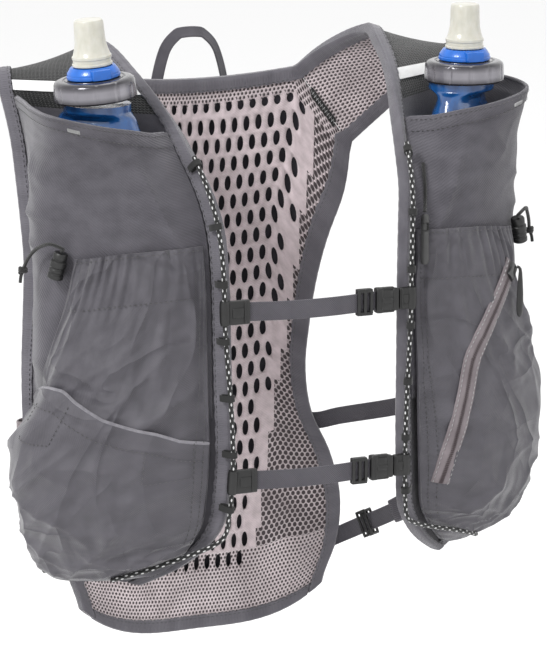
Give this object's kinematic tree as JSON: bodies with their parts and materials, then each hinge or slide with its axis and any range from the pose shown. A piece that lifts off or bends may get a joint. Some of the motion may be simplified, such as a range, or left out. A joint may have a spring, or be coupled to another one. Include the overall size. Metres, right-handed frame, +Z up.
{
  "type": "running hydration vest",
  "caption": "Worn-form running vest with a mesh back, stuffed front pockets holding two soft flasks, and chest and side straps.",
  "frame": {"origin": "midway between the two shoulder straps at shoulder height, where the vest hangs on the wearer", "axes": "+Z up, the wearer faces -Y, +X is the wearer's left"},
  "size_m": [0.3734, 0.2579, 0.4829],
  "materials": {
    "liner": "open spacer mesh",
    "cloth": "woven",
    "pocket": "stretch woven",
    "binding": "folded tape",
    "dark": "mesh",
    "reflective": "reflective tape",
    "webbing": "woven webbing",
    "zip": "coated zip tape",
    "cord": "braided",
    "plastic": "moulded",
    "cap": "satin",
    "blue": "smooth",
    "valve": "clear silicone look"
  },
  "bodies": {
    "vest": {"back_liner": "liner", "back_shell": "cloth", "left_front_liner": "liner", "left_front_panel": "cloth", "left_shoulder_mesh": "dark", "left_reflective_band": "reflective", "left_shoulder_seam": "dark", "right_front_liner": "liner", "right_front_panel": "cloth", "right_shoulder_mesh": "dark", "right_reflective_band": "reflective", "right_shoulder_seam": "dark", "neck_binding": "binding", "left_side_binding": "binding", "right_side_binding": "binding", "hem_binding": "binding", "left_flask_pocket": "pocket", "left_zip_pocket": "cloth", "right_flask_pocket": "pocket", "right_cinch_pocket": "cloth", "right_stash_pocket": "cloth", "zip_tape": "zip", "zip_slider": "plastic", "zip_pull": "plastic", "left_flask": "blue", "left_flask_cap": "cap", "right_flask": "blue", "right_flask_cap": "cap", "left_rail_cord": "cord", "right_rail_cord": "cord", "upper_left_hook": "plastic", "upper_right_hook": "plastic", "upper_web": "webbing", "upper_web_buckle": "plastic", "upper_web_glide": "plastic", "lower_left_hook": "plastic", "lower_right_hook": "plastic", "lower_web": "webbing", "lower_web_buckle": "plastic", "lower_web_glide": "plastic", "left_upper_side_strap": "webbing", "left_lower_side_strap": "webbing", "left_side_slider": "plastic", "left_strap_keeper": "webbing", "right_upper_side_strap": "webbing", "right_lower_side_strap": "webbing", "right_side_slider": "plastic", "left_cinch_lock": "plastic", "left_cinch_cord": "cord", "right_cinch_lock": "plastic", "right_cinch_cord": "cord", "whistle": "plastic", "whistle_cord": "cord", "right_side_loop": "webbing", "right_cord_loop": "cord", "hang_loop": "dark"},
    "left_valve": {"left_valve_collar": "blue", "left_bite_valve": "valve"},
    "right_valve": {"right_valve_collar": "blue", "right_bite_valve": "valve"}
  },
  "joints": [
    {"name": "left_valve_twist", "type": "hinge", "parent": "vest", "child": "left_valve", "pos_m": [0.13076, -0.08186, -0.021], "axis": [0, 0, 1], "range_deg": [0, 90]},
    {"name": "right_valve_twist", "type": "hinge", "parent": "vest", "child": "right_valve", "pos_m": [-0.13076, -0.08186, -0.021], "axis": [-0.0872, 0, 0.9962], "range_deg": [-90, 0]}
  ]
}
